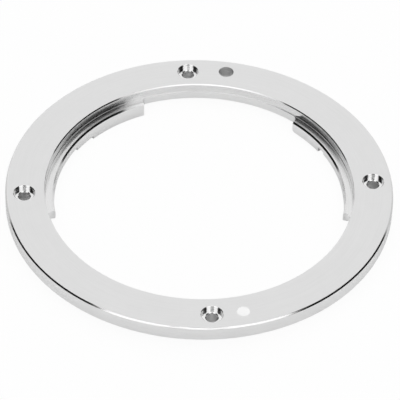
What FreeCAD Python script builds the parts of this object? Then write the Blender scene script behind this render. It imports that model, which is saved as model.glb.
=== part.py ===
import FreeCAD, Part
import math
import os

import Sketcher

# Camera lens mount ring: a turned and milled metal ring with three bayonet tabs, and its white index mark.
# The origin is the centre of the front face, with +Z out of that face and +X through a screw hole.
# Angles run counter-clockwise from +X, seen from the front. Lengths are millimetres, angles degrees.

# Driving dimensions
SIZES = {
    # Turned section: from the throat outwards, the tabs' reach and then the flange round the recess
    "throat_diameter": 46.1,
    "tab_reach": 1.38,
    "flange_width": 6.27,
    "flange_thickness": 2.9,
    "recess_depth": 1.55,
    "recess_corner_radius": 0.1,
    "front_outer_chamfer_width": 0.24,
    "front_outer_chamfer_depth": 0.2,
    "rear_outer_chamfer_width": 0.5,
    "rear_outer_chamfer_depth": 0.5,
    "front_inner_chamfer_width": 0.14,
    "front_inner_chamfer_depth": 0.17,
    "tab_front_chamfer_width": 0.24,
    "tab_front_chamfer_depth": 0.29,
    "tab_rear_chamfer": 0.15,
    # Tabs and gaps in turn round the ring, from the tab that spans the +X axis
    "right_tab_lead": 13.5,
    "right_tab_span": 58.0,
    "back_gap_span": 64.7,
    "left_tab_span": 77.6,
    "left_gap_span": 51.7,
    "front_tab_span": 52.5,
    "gap_ledge": 0.12,
    "gap_corner_radius": 0.9,
    # Ribs behind the tabs, feet behind the ribs, and the slot beside the low foot
    "rib_width": 2.15,
    "rib_height": 0.25,
    "low_foot_height": 0.45,
    "tall_foot_height": 1.0,
    "tall_foot_span": 25.2,
    "shelf_span": 10.4,
    "low_foot_span": 15.5,
    "foot_corner_radius": 0.6,
    "relief_slot_span": 3.9,
    "relief_slot_depth": 0.5,
    # Counterbored screw holes, with the edges of the counterbore and of the hole broken
    "screw_edge_distance": 3.0,
    "screw_hole_diameter": 1.9,
    "counterbore_diameter": 3.3,
    "counterbore_depth": 0.7,
    "counterbore_edge": 0.1,
    "screw_hole_edge": 0.1,
    # Hole that the lens lock pin comes through
    "lock_pin_hole_diameter": 2.45,
    "lock_pin_edge_distance": 2.7,
    "lock_pin_angle": 76.95,
    # Enamel index mark in its dimple, whose wall slopes in towards the floor
    "index_diameter": 2.0,
    "index_edge_distance": 2.95,
    "index_angle": 279.9,
    "index_depth": 0.2,
    "index_wall_slope": 45.0,
    "index_sink": 0.01,
}

# Values worked out from the driving dimensions
FORMULAS = {
    "throat_radius": "throat_diameter / 2",
    "clear_radius": "throat_radius / 2",
    "recess_radius": "throat_radius + tab_reach",
    "gap_radius": "recess_radius - gap_ledge",
    "outer_radius": "recess_radius + flange_width",
    "rib_outer_radius": "throat_radius + rib_width",
    "screw_circle_radius": "outer_radius - screw_edge_distance",
    "lock_pin_circle_radius": "outer_radius - lock_pin_edge_distance",
    "index_circle_radius": "outer_radius - index_edge_distance",
    "index_x": "index_circle_radius * cos(index_angle)",
    "index_y": "index_circle_radius * sin(index_angle)",
    "index_radius": "index_diameter / 2",
    "index_rim_radius": "index_radius - index_sink * tan(index_wall_slope)",
    "index_floor_radius": "index_radius - index_depth * tan(index_wall_slope)",
    "right_tab_start": "-right_tab_lead",
    "right_tab_end": "right_tab_start + right_tab_span",
    "left_tab_start": "right_tab_end + back_gap_span",
    "left_tab_end": "left_tab_start + left_tab_span",
    "front_tab_start": "left_tab_end + left_gap_span",
    "front_tab_end": "front_tab_start + front_tab_span",
    "next_right_tab_start": "right_tab_start + 360",
    "tall_foot_end": "left_tab_start + tall_foot_span",
    "shelf_end": "tall_foot_end + shelf_span",
    "right_foot_start": "right_tab_end - low_foot_span",
    "right_slot_start": "right_foot_start - relief_slot_span",
    "recess_corner": "min(recess_corner_radius; 0.85 * gap_ledge)",
    "gap_corner": "min(gap_corner_radius; 0.9 * (gap_radius - throat_radius - tab_front_chamfer_width))",
    "rib_depth": "flange_thickness + rib_height",
    "low_foot_depth": "rib_depth + low_foot_height",
    "foot_corner": "min(foot_corner_radius; 0.9 * (low_foot_depth - flange_thickness))",
}

NEAR = 1e-5

doc = FreeCAD.newDocument("lens_mount_ring")
sheet = doc.addObject("Spreadsheet::Sheet", "dimensions")
for row, (alias, number) in enumerate(SIZES.items(), start=1):
    sheet.set(f"A{row}", alias.replace("_", " "))
    sheet.set(f"B{row}", str(number))
    sheet.setAlias(f"B{row}", alias)
for row, (alias, formula) in enumerate(FORMULAS.items(), start=1):
    sheet.set(f"C{row}", alias.replace("_", " "))
    sheet.setAlias(f"D{row}", alias)
    sheet.set(f"D{row}", "=" + formula)
doc.recompute()


def size(alias):
    """The number that the sheet holds under an alias."""
    return float(sheet.get(alias))


def tie(thing, setting, alias, sign=""):
    """Bind one setting of an object to a value of the sheet."""
    thing.setExpression(setting, f"{sign}dimensions.{alias}")


def new_body(label):
    """An empty body whose label names the sub-part."""
    body = doc.addObject("PartDesign::Body", label)
    body.Label = label
    return body


def origin_feature(body, role):
    """An origin plane or axis of a body, by its role."""
    return next(feature for feature in body.Origin.OriginFeatures if feature.Role == role)


def new_sketch(body, name, role, depth_alias=None):
    """A sketch on an origin plane of its own body, sunk below it by a value of the sheet."""
    sketch = body.newObject("Sketcher::SketchObject", name)
    sketch.AttachmentSupport = [(origin_feature(body, role), "")]
    sketch.MapMode = "FlatFace"
    if depth_alias:
        tie(sketch, "AttachmentOffset.Base.z", depth_alias, sign="-")
    return sketch


def dimension(sketch, alias, kind, *references):
    """Add a dimension to a sketch and bind it to a value of the sheet."""
    number = size(alias)
    if kind == "Angle":
        number = math.radians(number)
    index = sketch.addConstraint(Sketcher.Constraint(kind, *references, number))
    tie(sketch, f"Constraints[{index}]", alias)


def draw_loop(sketch, corners):
    """Straight edges from corner to corner and back to the first, joined end to end."""
    points = [FreeCAD.Vector(x, y, 0) for x, y in corners]
    for start, end in zip(points, points[1:] + points[:1]):
        sketch.addGeometry(Part.LineSegment(start, end))
    for edge in range(len(points)):
        sketch.addConstraint(Sketcher.Constraint("Coincident", edge, 2, (edge + 1) % len(points), 1))


def polar(radius, degrees):
    """A point of the sketch plane at a radius and an angle."""
    angle = math.radians(degrees)
    return FreeCAD.Vector(radius * math.cos(angle), radius * math.sin(angle), 0)


def draw_sector(sketch, inner, outer, start, end):
    """A closed piece of an annulus between two radii and two angles, all named values of the sheet."""
    first = sketch.GeometryCount
    inner_arc, outer_arc, start_line, end_line = range(first, first + 4)
    low, high = math.radians(size(start)), math.radians(size(end))
    for radius in (inner, outer):
        circle = Part.Circle(FreeCAD.Vector(0, 0, 0), FreeCAD.Vector(0, 0, 1), size(radius))
        sketch.addGeometry(Part.ArcOfCircle(circle, low, high))
    for angle in (size(start), size(end)):
        sketch.addGeometry(Part.LineSegment(polar(size(inner), angle), polar(size(outer), angle)))
    for arc, radius in ((inner_arc, inner), (outer_arc, outer)):
        sketch.addConstraint(Sketcher.Constraint("Coincident", arc, 3, -1, 1))
        dimension(sketch, radius, "Radius", arc)
    for line, arc_end, angle in ((start_line, 1, start), (end_line, 2, end)):
        sketch.addConstraint(Sketcher.Constraint("Coincident", line, 1, inner_arc, arc_end))
        sketch.addConstraint(Sketcher.Constraint("Coincident", line, 2, outer_arc, arc_end))
        sketch.addConstraint(Sketcher.Constraint("PointOnObject", -1, 1, line))
        dimension(sketch, angle, "Angle", line)


def draw_circle(sketch, diameter, radius, angle=None):
    """A circle whose centre lies at a radius from the origin, on the X axis or at an angle from it."""
    centre = polar(size(radius), size(angle) if angle else 0)
    circle = sketch.addGeometry(Part.Circle(centre, FreeCAD.Vector(0, 0, 1), size(diameter) / 2))
    dimension(sketch, diameter, "Diameter", circle)
    if angle is None:
        sketch.addConstraint(Sketcher.Constraint("PointOnObject", circle, 3, -1))
        dimension(sketch, radius, "DistanceX", -1, 1, circle, 3)
        return
    spoke = sketch.addGeometry(Part.LineSegment(FreeCAD.Vector(0, 0, 0), centre), True)
    sketch.addConstraint(Sketcher.Constraint("Coincident", spoke, 1, -1, 1))
    sketch.addConstraint(Sketcher.Constraint("Coincident", spoke, 2, circle, 3))
    dimension(sketch, radius, "Distance", spoke)
    dimension(sketch, angle, "Angle", spoke)


def new_cut(body, name, sketch, depth_alias=None):
    """A pocket from a sketch down along -Z, right through or to a depth."""
    cut = body.newObject("PartDesign::Pocket", name)
    cut.Profile = sketch
    if depth_alias:
        cut.Type = "Length"
        tie(cut, "Length", depth_alias)
    else:
        cut.Type = "ThroughAll"
    return cut


def new_foot(body, name, sketch, height_alias):
    """A pad from a sketch down along -Z."""
    foot = body.newObject("PartDesign::Pad", name)
    foot.Profile = sketch
    foot.Reversed = True
    tie(foot, "Length", height_alias)
    return foot


def edges_where(feature, wanted):
    """The names of a feature's edges that pass a test."""
    return [f"Edge{number}" for number, edge in enumerate(feature.Shape.Edges, start=1) if wanted(edge)]


def is_gap_corner(edge):
    """Whether an edge stands along Z in the corner between a tab's end and the gap's wall."""
    ends = [vertex.Point for vertex in edge.Vertexes]
    upright = len(ends) == 2 and math.hypot(ends[0].x - ends[1].x, ends[0].y - ends[1].y) < NEAR
    return upright and all(abs(math.hypot(end.x, end.y) - size("gap_radius")) < NEAR for end in ends)


def is_thin_tab_rim(edge):
    """Whether an edge is the rear inner rim of a tab, where no foot stands behind it."""
    if not isinstance(edge.Curve, Part.Circle):
        return False
    on_throat = abs(edge.Curve.Radius - size("throat_radius")) < NEAR
    return on_throat and abs(edge.Curve.Center.z + size("rib_depth")) < NEAR


def is_low_foot_corner(edge):
    """Whether an edge is the lower edge of the right tab's foot, at the tab's end."""
    if not isinstance(edge.Curve, Part.Line):
        return False
    middle = edge.CenterOfMass
    at_bottom = all(abs(vertex.Z + size("low_foot_depth")) < NEAR for vertex in edge.Vertexes)
    at_end = abs(math.degrees(math.atan2(middle.y, middle.x)) - size("right_tab_end")) < NEAR
    return at_bottom and at_end


def is_recess_corner(edge):
    """Whether an edge is the corner between the recess's wall and its floor."""
    if not isinstance(edge.Curve, Part.Circle):
        return False
    on_wall = abs(edge.Curve.Radius - size("recess_radius")) < NEAR
    return on_wall and abs(edge.Curve.Center.z + size("recess_depth")) < NEAR


def is_counterbore_rim(edge):
    """Whether an edge is the rim of a counterbore, in the front face."""
    if not isinstance(edge.Curve, Part.Circle):
        return False
    as_wide = abs(2 * edge.Curve.Radius - size("counterbore_diameter")) < NEAR
    return as_wide and abs(edge.Curve.Center.z) < NEAR


def is_screw_hole_rim(edge):
    """Whether an edge is the rim of a screw hole, in the floor of its counterbore."""
    if not isinstance(edge.Curve, Part.Circle):
        return False
    as_wide = abs(2 * edge.Curve.Radius - size("screw_hole_diameter")) < NEAR
    return as_wide and abs(edge.Curve.Center.z + size("counterbore_depth")) < NEAR


def draw_section(sketch):
    """Half section of the ring with its tabs still all the way round: radius along X, depth along -Y."""
    outer, recess, throat = size("outer_radius"), size("recess_radius"), size("throat_radius")
    thickness, ledge = size("flange_thickness"), size("recess_depth")
    draw_loop(sketch, [
        (recess + size("front_inner_chamfer_width"), 0),
        (outer - size("front_outer_chamfer_width"), 0),
        (outer, -size("front_outer_chamfer_depth")),
        (outer, size("rear_outer_chamfer_depth") - thickness),
        (outer - size("rear_outer_chamfer_width"), -thickness),
        (throat, -thickness),
        (throat, -ledge - size("tab_front_chamfer_depth")),
        (throat + size("tab_front_chamfer_width"), -ledge),
        (recess, -ledge),
        (recess, -size("front_inner_chamfer_depth")),
    ])
    (front_face, front_outer_edge, outer_wall, rear_outer_edge, rear_face,
     throat_wall, tab_edge, tab_ledge, recess_wall, front_inner_edge) = range(10)
    for end in (1, 2):
        sketch.addConstraint(Sketcher.Constraint("PointOnObject", front_face, end, -1))
    for wall in (outer_wall, throat_wall, recess_wall):
        sketch.addConstraint(Sketcher.Constraint("Vertical", wall))
    for flat in (rear_face, tab_ledge):
        sketch.addConstraint(Sketcher.Constraint("Horizontal", flat))
    for wall, alias in ((outer_wall, "outer_radius"), (throat_wall, "throat_radius"),
                        (recess_wall, "recess_radius")):
        dimension(sketch, alias, "DistanceX", -1, 1, wall, 1)
    for flat, alias in ((rear_face, "flange_thickness"), (tab_ledge, "recess_depth")):
        dimension(sketch, alias, "DistanceY", flat, 1, -1, 1)
    # The ends of each chamfer, in pairs: along its width from the lower X, along its depth from the lower Y.
    chamfers = (
        (front_outer_edge, "front_outer_chamfer", (1, 2), (2, 1)),
        (rear_outer_edge, "rear_outer_chamfer", (2, 1), (2, 1)),
        (tab_edge, "tab_front_chamfer", (1, 2), (1, 2)),
        (front_inner_edge, "front_inner_chamfer", (1, 2), (1, 2)),
    )
    for edge, alias, across, along in chamfers:
        dimension(sketch, alias + "_width", "DistanceX", edge, across[0], edge, across[1])
        dimension(sketch, alias + "_depth", "DistanceY", edge, along[0], edge, along[1])


def new_index_section(body, name):
    """A sketch in the upright plane through the index mark, with its vertical axis on the mark's own."""
    sketch = new_sketch(body, name, "XZ_Plane")
    tie(sketch, "AttachmentOffset.Base.x", "index_x")
    tie(sketch, "AttachmentOffset.Base.z", "index_y", sign="-")
    return sketch


def draw_dimple(sketch):
    """Half section of the index mark's dimple, from its mouth in the front face down to its floor."""
    floor_radius, depth = size("index_floor_radius"), size("index_depth")
    draw_loop(sketch, [(0, 0), (0, -depth), (floor_radius, -depth), (size("index_radius"), 0)])
    axis, floor, wall, mouth = range(4)
    sketch.addConstraint(Sketcher.Constraint("Coincident", axis, 1, -1, 1))
    sketch.addConstraint(Sketcher.Constraint("Vertical", axis))
    sketch.addConstraint(Sketcher.Constraint("Horizontal", floor))
    sketch.addConstraint(Sketcher.Constraint("Horizontal", mouth))
    dimension(sketch, "index_depth", "DistanceY", axis, 2, axis, 1)
    dimension(sketch, "index_floor_radius", "DistanceX", -1, 1, wall, 1)
    dimension(sketch, "index_radius", "DistanceX", -1, 1, wall, 2)


def build_mount_ring():
    """The metal ring, in the order in which it is turned, milled and drilled."""
    body = new_body("mount_ring")
    section = new_sketch(body, "ring_section", "XZ_Plane")
    draw_section(section)
    turned = body.newObject("PartDesign::Revolution", "turned_ring")
    turned.Profile = section
    turned.ReferenceAxis = (section, ["V_Axis"])
    turned.Angle = 360
    doc.recompute()
    recess_corner = body.newObject("PartDesign::Fillet", "recess_corner")
    recess_corner.Base = (turned, edges_where(turned, is_recess_corner))
    tie(recess_corner, "Radius", "recess_corner")

    # Gaps between the tabs, where the lens's own tabs go in
    gap_outline = new_sketch(body, "gap_outline", "XY_Plane", "recess_depth")
    for start, end in (("right_tab_end", "left_tab_start"), ("left_tab_end", "front_tab_start"),
                       ("front_tab_end", "next_right_tab_start")):
        draw_sector(gap_outline, "clear_radius", "gap_radius", start, end)
    gaps = new_cut(body, "bayonet_gaps", gap_outline)
    doc.recompute()
    corners = body.newObject("PartDesign::Fillet", "gap_corners")
    corners.Base = (gaps, edges_where(gaps, is_gap_corner))
    tie(corners, "Radius", "gap_corner")

    # A rib behind each tab
    rib_outline = new_sketch(body, "rib_outline", "XY_Plane", "flange_thickness")
    for start, end in (("right_tab_start", "right_tab_end"), ("left_tab_start", "left_tab_end"),
                       ("front_tab_start", "front_tab_end")):
        draw_sector(rib_outline, "throat_radius", "rib_outer_radius", start, end)
    new_foot(body, "tab_ribs", rib_outline, "rib_height")

    # Feet behind the ribs: a tall one with a shelf beside it on the left tab, a low one on the right tab
    tall_outline = new_sketch(body, "tall_foot_outline", "XY_Plane", "rib_depth")
    draw_sector(tall_outline, "throat_radius", "rib_outer_radius", "left_tab_start", "tall_foot_end")
    new_foot(body, "tall_foot", tall_outline, "tall_foot_height")
    low_outline = new_sketch(body, "low_feet_outline", "XY_Plane", "rib_depth")
    for start, end in (("tall_foot_end", "shelf_end"), ("right_foot_start", "right_tab_end")):
        draw_sector(low_outline, "throat_radius", "rib_outer_radius", start, end)
    new_foot(body, "low_feet", low_outline, "low_foot_height")

    # Relief slot beside the right foot, cut from the rear
    slot_outline = new_sketch(body, "slot_outline", "XY_Plane", "rib_depth")
    draw_sector(slot_outline, "clear_radius", "rib_outer_radius", "right_slot_start", "right_foot_start")
    slot = new_cut(body, "relief_slot", slot_outline, "relief_slot_depth")
    slot.Reversed = True
    doc.recompute()

    # Broken edges behind the tabs
    rims = body.newObject("PartDesign::Chamfer", "tab_rims")
    rims.Base = (slot, edges_where(slot, is_thin_tab_rim))
    tie(rims, "Size", "tab_rear_chamfer")
    doc.recompute()
    rounding = body.newObject("PartDesign::Fillet", "foot_corner_round")
    rounding.Base = (rims, edges_where(rims, is_low_foot_corner))
    tie(rounding, "Radius", "foot_corner")
    doc.recompute()

    # Counterbored screw holes, a quarter turn apart, and their broken edges
    screw_place = new_sketch(body, "screw_place", "XY_Plane")
    draw_circle(screw_place, "screw_hole_diameter", "screw_circle_radius")
    doc.recompute()
    screw_hole = body.newObject("PartDesign::Hole", "screw_hole")
    screw_hole.Profile = screw_place
    doc.recompute()
    screw_hole.ThreadType = "None"
    screw_hole.DepthType = "ThroughAll"
    screw_hole.HoleCutType = "Counterbore"
    screw_hole.HoleCutCustomValues = True
    tie(screw_hole, "Diameter", "screw_hole_diameter")
    tie(screw_hole, "HoleCutDiameter", "counterbore_diameter")
    tie(screw_hole, "HoleCutDepth", "counterbore_depth")
    doc.recompute()
    screw_holes = body.newObject("PartDesign::PolarPattern", "screw_holes")
    screw_holes.Originals = [screw_hole]
    screw_holes.Axis = (origin_feature(body, "Z_Axis"), [""])
    screw_holes.Angle = 360
    screw_holes.Occurrences = 4
    body.Tip = screw_holes
    doc.recompute()
    counterbore_edges = body.newObject("PartDesign::Chamfer", "counterbore_edges")
    counterbore_edges.Base = (screw_holes, edges_where(screw_holes, is_counterbore_rim))
    tie(counterbore_edges, "Size", "counterbore_edge")
    doc.recompute()
    screw_hole_edges = body.newObject("PartDesign::Chamfer", "screw_hole_edges")
    screw_hole_edges.Base = (counterbore_edges, edges_where(counterbore_edges, is_screw_hole_rim))
    tie(screw_hole_edges, "Size", "screw_hole_edge")
    doc.recompute()

    # Lock pin hole, right through, and the dimple of the index mark
    pin_place = new_sketch(body, "lock_pin_place", "XY_Plane")
    draw_circle(pin_place, "lock_pin_hole_diameter", "lock_pin_circle_radius", "lock_pin_angle")
    new_cut(body, "lock_pin_hole", pin_place)
    dimple_section = new_index_section(body, "dimple_section")
    draw_dimple(dimple_section)
    dimple = body.newObject("PartDesign::Groove", "index_dimple")
    dimple.Profile = dimple_section
    dimple.ReferenceAxis = (dimple_section, ["V_Axis"])
    dimple.Angle = 360
    doc.recompute()
    return body


def build_index_dot():
    """The enamel mark: a disc that fills its dimple, crowned from a sunken rim up to the front face."""
    body = new_body("index_dot")
    section = new_index_section(body, "dot_section")
    rim_radius, floor_radius = size("index_rim_radius"), size("index_floor_radius")
    depth, sink = size("index_depth"), size("index_sink")
    rim, crown = FreeCAD.Vector(rim_radius, -sink, 0), FreeCAD.Vector(0, 0, 0)
    floor_centre, floor_rim = FreeCAD.Vector(0, -depth, 0), FreeCAD.Vector(floor_radius, -depth, 0)
    crown_radius = (rim_radius ** 2 + sink ** 2) / (2 * sink)
    crown_circle = Part.Circle(FreeCAD.Vector(0, -crown_radius, 0), FreeCAD.Vector(0, 0, 1), crown_radius)
    rim_angle = math.acos(rim_radius / crown_radius)
    sketch_edges = (
        Part.LineSegment(crown, floor_centre),
        Part.LineSegment(floor_centre, floor_rim),
        Part.LineSegment(floor_rim, rim),
        Part.ArcOfCircle(crown_circle, rim_angle, math.pi / 2),
    )
    axis, floor, side, crown_arc = (section.addGeometry(edge) for edge in sketch_edges)
    section.addConstraint(Sketcher.Constraint("Coincident", axis, 1, -1, 1))
    section.addConstraint(Sketcher.Constraint("Coincident", axis, 2, floor, 1))
    section.addConstraint(Sketcher.Constraint("Coincident", floor, 2, side, 1))
    section.addConstraint(Sketcher.Constraint("Coincident", side, 2, crown_arc, 1))
    section.addConstraint(Sketcher.Constraint("Coincident", crown_arc, 2, axis, 1))
    section.addConstraint(Sketcher.Constraint("PointOnObject", crown_arc, 3, -2))
    section.addConstraint(Sketcher.Constraint("Vertical", axis))
    section.addConstraint(Sketcher.Constraint("Horizontal", floor))
    dimension(section, "index_floor_radius", "DistanceX", floor, 1, floor, 2)
    dimension(section, "index_rim_radius", "DistanceX", -1, 1, side, 2)
    dimension(section, "index_depth", "DistanceY", axis, 2, axis, 1)
    dimension(section, "index_sink", "DistanceY", side, 2, axis, 1)
    disc = body.newObject("PartDesign::Revolution", "enamel_fill")
    disc.Profile = section
    disc.ReferenceAxis = (section, ["V_Axis"])
    disc.Angle = 360
    doc.recompute()
    return body


sub_parts = [build_mount_ring(), build_index_dot()]
doc.recompute()

for item in doc.Objects:
    if {"Invalid", "Error"} & set(item.State):
        raise RuntimeError(f"{item.Label} did not build: {item.State}")
for sub_part in sub_parts:
    if sub_part.Shape.isNull() or not sub_part.Shape.isValid():
        raise RuntimeError(f"{sub_part.Label} has no valid shape")

os.makedirs("parts", exist_ok=True)
for sub_part in sub_parts:
    sub_part.Shape.exportStep(f"parts/{sub_part.Label}.step")
    print(f"{sub_part.Label}: {len(sub_part.Shape.Solids)} solid, {sub_part.Shape.Volume:.3f} mm3")
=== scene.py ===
"""Looks of a camera lens mount ring: turned metal, an enamel index mark, a white table and a studio."""

import math

import bpy
from mathutils import Matrix, Vector


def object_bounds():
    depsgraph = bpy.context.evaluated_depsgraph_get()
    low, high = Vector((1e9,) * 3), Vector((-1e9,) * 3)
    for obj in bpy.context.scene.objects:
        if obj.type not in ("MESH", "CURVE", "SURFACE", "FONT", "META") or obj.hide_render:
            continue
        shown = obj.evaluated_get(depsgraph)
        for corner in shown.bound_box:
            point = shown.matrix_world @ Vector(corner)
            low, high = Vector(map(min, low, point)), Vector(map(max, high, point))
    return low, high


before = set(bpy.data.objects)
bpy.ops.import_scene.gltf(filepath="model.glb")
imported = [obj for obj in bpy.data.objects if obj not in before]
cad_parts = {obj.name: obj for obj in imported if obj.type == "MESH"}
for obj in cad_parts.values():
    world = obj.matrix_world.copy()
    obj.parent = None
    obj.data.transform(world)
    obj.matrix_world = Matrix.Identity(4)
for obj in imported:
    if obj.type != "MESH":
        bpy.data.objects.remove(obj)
cad_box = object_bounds()

MM = 0.001
WHITE = (1.0, 1.0, 1.0, 1.0)

# Camera: the ring seen from the front and above, its centre near the middle of the picture
CAMERA_ELEVATION = math.radians(44.142)
CAMERA_ROLL = math.radians(1.685)
CAMERA_TURN = math.radians(-5.12)
CAMERA_DISTANCE = 421.6 * MM
CAMERA_NEAR_LIMIT = 10.0 * MM
CENTRE_RIGHT = -0.089 * MM
CENTRE_UP = 2.055 * MM
SENSOR_WIDTH_MM = 36.0
LENS_MM = 239.6

# Metal: a satin front face, and a recess that is bright in its corner and duller away from it.
# Each limit of these zones is two numbers between which the zone fades in.
METAL_SHADE = 0.84
METAL_ROUGHNESS = 0.10
FACE_ROUGHNESS = 0.48
FACE_LEVEL = (-0.006 * MM, -0.002 * MM)
# Painted shade: the metal in the recess is given a darker colour, standing in for the shade that falls
# there.
RECESS_PAINTED_SHADE = 0.79
RECESS_ROUGHNESS = 0.32
RECESS_RADIUS = 24.43 * MM
RECESS_DEPTH = 1.55 * MM
RECESS_REACH = 1.3 * MM
RECESS_RIM = (RECESS_RADIUS + 0.1 * MM, RECESS_RADIUS + 0.05 * MM)
RECESS_TOP = (-0.16 * MM, -0.18 * MM)
RECESS_FLOOR = (-RECESS_DEPTH - 0.015 * MM, -RECESS_DEPTH - 0.005 * MM)

# Fine pattern of the metal: rings from the lathe, which a slant carries down the walls, and a faint cloud.
# In the noise of those rings, one turn round the axis is a circle of LATHE_TURN_RADIUS.
NOISE_MIDDLE = 0.5
LATHE_STEPS_PER_METRE = 4500.0
LATHE_SLANT = 0.7
LATHE_TURN_RADIUS = 3.0
LATHE_ROUGHNESS = 0.05
LATHE_SHADE = 0.06
LATHE_GROOVE_DEPTH = 0.018 * MM
FACE_GROOVES_LOST = 0.97
CLOUD_ROUGHNESS = 0.06
CLOUD_SHADE = 0.06

# Enamel: its shade and roughness, how much of each the cloud adds, and the waves of its surface
ENAMEL_SHADE = 0.93
ENAMEL_ROUGHNESS = 0.22
ENAMEL_CLOUD_SHADE = 0.02
ENAMEL_CLOUD_ROUGHNESS = 0.06
ENAMEL_WAVE_STRENGTH = 0.1
ENAMEL_WAVE_HEIGHT = 0.02 * MM

# Table
TABLE_RADIUS = 0.6
TABLE_SIDES = 96
TABLE_COLOUR = (0.85, 0.85, 0.85, 1.0)
TABLE_SEEN_WHITE = 0.95
TABLE_MIRRORED_WHITE = 0.04

# Studio: a soft lamp over a bright tent that falls off to its sides, with a dark screen on each side, and
# in front bright panels and the dark of the camera between them. Each edge is two numbers between which
# the light or dark fades in: along the swing, the tangent of the angle from straight sideways towards the
# back, along the level, the height of a direction, or along its share to the right or to the back.
LAMP_STRENGTH = 0.84
LAMP_SPREAD = math.radians(80.0)
SIDE_FALL = 0.42
SCREEN_DARK = 0.98
SCREEN_FRONT = (-0.65, -0.54)
SCREEN_BACK = (0.52, 0.38)
SCREEN_BACK_LEAN = 0.45
SCREEN_TOP = (0.82, 0.76)
SCREEN_TOP_LEAN = 0.15
PANEL_LIGHT = 0.45
PANEL_BACK = (-0.22, -0.32)
PANEL_BOTTOM = (0.50, 0.58)
PANEL_TOP = (0.88, 0.80)
CAMERA_DARK = 0.9
CAMERA_SIDE = (0.24, 0.18)
CAMERA_FRONT = (0.0, -0.1)
CAMERA_BOTTOM = (0.645, 0.67)
CAMERA_TOP = (0.775, 0.75)


def operator(operation, swapped=False):
    """A method of Term that adds a Math node for one of Python's operators."""

    def apply(self, other):
        pair = (other, self) if swapped else (self, other)
        return self.shader.add("Math", {"operation": operation}, {0: pair[0], 1: pair[1]})

    return apply


class Term:
    """An output of a node. Python's sums on it add Math nodes."""

    def __init__(self, shader, socket):
        self.shader = shader
        self.socket = socket

    __add__ = operator("ADD")
    __radd__ = operator("ADD", swapped=True)
    __sub__ = operator("SUBTRACT")
    __rsub__ = operator("SUBTRACT", swapped=True)
    __mul__ = operator("MULTIPLY")
    __rmul__ = operator("MULTIPLY", swapped=True)
    __truediv__ = operator("DIVIDE")
    __rtruediv__ = operator("DIVIDE", swapped=True)
    __pow__ = operator("POWER")

    def __abs__(self):
        return self.shader.add("Math", {"operation": "ABSOLUTE"}, {0: self})

    def output(self, name):
        """Another output of the same node."""
        return Term(self.shader, self.socket.node.outputs[name])

    def step(self, start, end):
        """0 at start and before it, 1 at end and beyond, with a smooth rise between them."""
        sockets = {"Value": self, "From Min": start, "From Max": end}
        return self.shader.add("MapRange", {"interpolation_type": "SMOOTHSTEP"}, sockets)

    def parts(self):
        """The three numbers of a vector."""
        first = self.shader.add("SeparateXYZ", {}, {"Vector": self})
        return [first.output(axis) for axis in "XYZ"]


class Shader:
    """The node tree of a material or of the world, empty at first."""

    def __init__(self, owner):
        owner.use_nodes = True
        self.tree = owner.node_tree
        self.tree.nodes.clear()

    def add(self, kind, settings=None, sockets=None):
        """A node of that kind with its settings, then the values or links of its sockets.

        Gives the node's first output.
        """
        node = self.tree.nodes.new("ShaderNode" + kind)
        for name, value in (settings or {}).items():
            setattr(node, name, value)
        for name, value in (sockets or {}).items():
            if isinstance(value, Term):
                self.tree.links.new(value.socket, node.inputs[name])
            else:
                node.inputs[name].default_value = value
        return Term(self, node.outputs[0]) if node.outputs else None

    def grey(self, shade):
        """A grey colour of that shade."""
        return self.add("CombineColor", {}, {"Red": shade, "Green": shade, "Blue": shade})


def new_material(name):
    """A material and its empty node tree."""
    material = bpy.data.materials.new(name)
    return material, Shader(material)


def turned_metal():
    """Plated metal off the lathe: a satin front face, bright walls, and fine rings round the axis."""
    material, shader = new_material("turned_metal")
    place = shader.add("TexCoord").output("Object")
    x, y, z = place.parts()
    radius = (x * x + y * y) ** 0.5
    across = (radius - LATHE_SLANT * z) * LATHE_STEPS_PER_METRE
    round_x = x / radius * LATHE_TURN_RADIUS
    round_y = y / radius * LATHE_TURN_RADIUS
    lathe_place = shader.add("CombineXYZ", {}, {"X": round_x, "Y": round_y, "Z": across})
    lathe_sockets = {"Vector": lathe_place, "Scale": 1.0, "Detail": 2.0, "Roughness": 0.6}
    lathe = shader.add("TexNoise", {}, lathe_sockets)
    cloud_sockets = {"Vector": place, "Scale": 220.0, "Detail": 3.0, "Roughness": 0.55}
    cloud = shader.add("TexNoise", {}, cloud_sockets)
    from_lathe = lathe - NOISE_MIDDLE
    from_cloud = cloud - NOISE_MIDDLE
    on_face = z.step(*FACE_LEVEL)
    in_recess = radius.step(*RECESS_RIM) * z.step(*RECESS_TOP) * z.step(*RECESS_FLOOR)
    from_corner = (z + RECESS_DEPTH + RECESS_RADIUS - radius) / RECESS_REACH
    roughness = METAL_ROUGHNESS + (FACE_ROUGHNESS - METAL_ROUGHNESS) * on_face
    roughness += (RECESS_ROUGHNESS - METAL_ROUGHNESS) * in_recess * from_corner
    roughness += LATHE_ROUGHNESS * from_lathe + CLOUD_ROUGHNESS * from_cloud
    # Painted shade: the metal's colour is made darker inside the recess.
    shade = METAL_SHADE + (RECESS_PAINTED_SHADE - METAL_SHADE) * in_recess
    shade += CLOUD_SHADE * from_cloud + LATHE_SHADE * from_lathe
    grooves = lathe * (1.0 - FACE_GROOVES_LOST * on_face)
    bump = shader.add("Bump", {}, {"Height": grooves, "Strength": 1.0, "Distance": LATHE_GROOVE_DEPTH})
    surface_sockets = {
        "Base Color": shader.grey(shade),
        "Metallic": 1.0,
        "Roughness": roughness,
        "Normal": bump,
    }
    surface = shader.add("BsdfPrincipled", {}, surface_sockets)
    shader.add("OutputMaterial", {}, {"Surface": surface})
    return material


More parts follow.
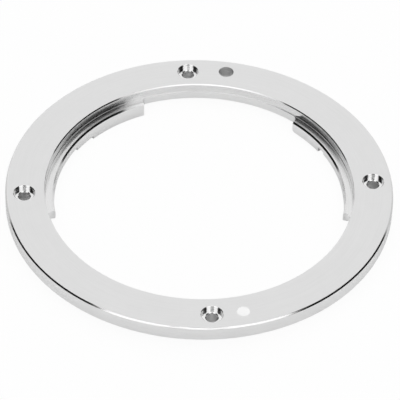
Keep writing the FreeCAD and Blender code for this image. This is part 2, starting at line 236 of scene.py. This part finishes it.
def white_enamel():
    """Enamel run into the dimple: white, glossy, and not quite even."""
    material, shader = new_material("white_enamel")
    place = shader.add("TexCoord").output("Object")
    cloud_sockets = {"Vector": place, "Scale": 900.0, "Detail": 2.0, "Roughness": 0.5}
    cloud = shader.add("TexNoise", {}, cloud_sockets)
    from_cloud = cloud - NOISE_MIDDLE
    bump_sockets = {"Height": cloud, "Strength": ENAMEL_WAVE_STRENGTH, "Distance": ENAMEL_WAVE_HEIGHT}
    surface_sockets = {
        "Base Color": shader.grey(ENAMEL_SHADE + ENAMEL_CLOUD_SHADE * from_cloud),
        "Roughness": ENAMEL_ROUGHNESS + ENAMEL_CLOUD_ROUGHNESS * from_cloud,
        "Normal": shader.add("Bump", {}, bump_sockets),
    }
    surface = shader.add("BsdfPrincipled", {}, surface_sockets)
    shader.add("OutputMaterial", {}, {"Surface": surface})
    return material


def table_white():
    """Matt white paper, which shows as the white background and keeps a part of its shadow."""
    material, shader = new_material("table_white")
    path = shader.add("LightPath")
    seen = path.output("Is Camera Ray")
    mirrored = path.output("Is Glossy Ray") + path.output("Is Transmission Ray")
    paper = shader.add("BsdfDiffuse", {}, {"Color": TABLE_COLOUR})
    white = shader.add("Emission", {}, {"Color": WHITE, "Strength": 1.0})
    share = TABLE_SEEN_WHITE * seen + TABLE_MIRRORED_WHITE * mirrored
    surface = shader.add("MixShader", {}, {0: share, 1: paper, 2: white})
    shader.add("OutputMaterial", {}, {"Surface": surface})
    return material


def dress(node, material):
    """Give a node of the CAD its material, and no other."""
    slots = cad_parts[node].data.materials
    slots.clear()
    slots.append(material)


def make_table():
    """A round white table at the level of the ring's lowest point."""
    bpy.ops.object.select_all(action="DESELECT")
    height = cad_box[0].z
    bpy.ops.mesh.primitive_circle_add(
        vertices=TABLE_SIDES, radius=TABLE_RADIUS, fill_type="NGON", location=(0.0, 0.0, height)
    )
    table = bpy.context.object
    table.name = "table"
    table.data.materials.append(table_white())


def make_camera():
    """The camera, set up in front of the ring and then turned round the ring's axis."""
    back = Vector((0.0, -math.cos(CAMERA_ELEVATION), math.sin(CAMERA_ELEVATION)))
    level = Vector((1.0, 0.0, 0.0))
    upright = back.cross(level)
    right = math.cos(CAMERA_ROLL) * level + math.sin(CAMERA_ROLL) * upright
    up = math.cos(CAMERA_ROLL) * upright - math.sin(CAMERA_ROLL) * level
    eye = CAMERA_DISTANCE * back - CENTRE_RIGHT * right - CENTRE_UP * up
    placed = Matrix((right, up, back)).transposed().to_4x4()
    placed.translation = eye
    data = bpy.data.cameras.new("camera")
    data.sensor_width = SENSOR_WIDTH_MM
    data.lens = LENS_MM
    data.clip_start = CAMERA_NEAR_LIMIT
    camera = bpy.data.objects.new("camera", data)
    bpy.context.scene.collection.objects.link(camera)
    camera.matrix_world = Matrix.Rotation(CAMERA_TURN, 4, "Z") @ placed
    bpy.context.scene.camera = camera


def add_lamp():
    """A wide lamp straight above, which lights table and enamel but has no mirror image in the metal."""
    data = bpy.data.lights.new("lamp", "SUN")
    data.energy = LAMP_STRENGTH
    data.angle = LAMP_SPREAD
    lamp = bpy.data.objects.new("lamp", data)
    lamp.visible_glossy = False
    bpy.context.scene.collection.objects.link(lamp)


def surround_studio():
    """The tent, its screens and panels and the dark of the camera, as light from each direction."""
    world = bpy.data.worlds.new("studio")
    bpy.context.scene.world = world
    shader = Shader(world)
    x, y, z = shader.add("TexCoord").output("Generated").parts()
    right = x * math.cos(CAMERA_TURN) + y * math.sin(CAMERA_TURN)
    back = y * math.cos(CAMERA_TURN) - x * math.sin(CAMERA_TURN)
    swing = back / abs(right)
    sides = swing.step(*SCREEN_FRONT) * (swing - SCREEN_BACK_LEAN * z).step(*SCREEN_BACK)
    screens = SCREEN_DARK * sides * (z + SCREEN_TOP_LEAN * swing).step(*SCREEN_TOP)
    ahead = abs(right).step(*CAMERA_SIDE) * back.step(*CAMERA_FRONT)
    camera = CAMERA_DARK * ahead * z.step(*CAMERA_BOTTOM) * z.step(*CAMERA_TOP)
    panels = PANEL_LIGHT * back.step(*PANEL_BACK) * z.step(*PANEL_BOTTOM) * z.step(*PANEL_TOP)
    walls = 1.0 - SIDE_FALL * abs(right) + panels
    tent = walls * (1.0 - screens) * (1.0 - camera)
    seen = shader.add("LightPath").output("Is Camera Ray")
    strength = seen + (1.0 - seen) * tent
    light = shader.add("Background", {}, {"Color": WHITE, "Strength": strength})
    shader.add("OutputWorld", {}, {"Surface": light})


dress("mount_ring", turned_metal())
dress("index_dot", white_enamel())
make_table()
make_camera()
add_lamp()
surround_studio()
bpy.context.scene.view_settings.view_transform = "Standard"
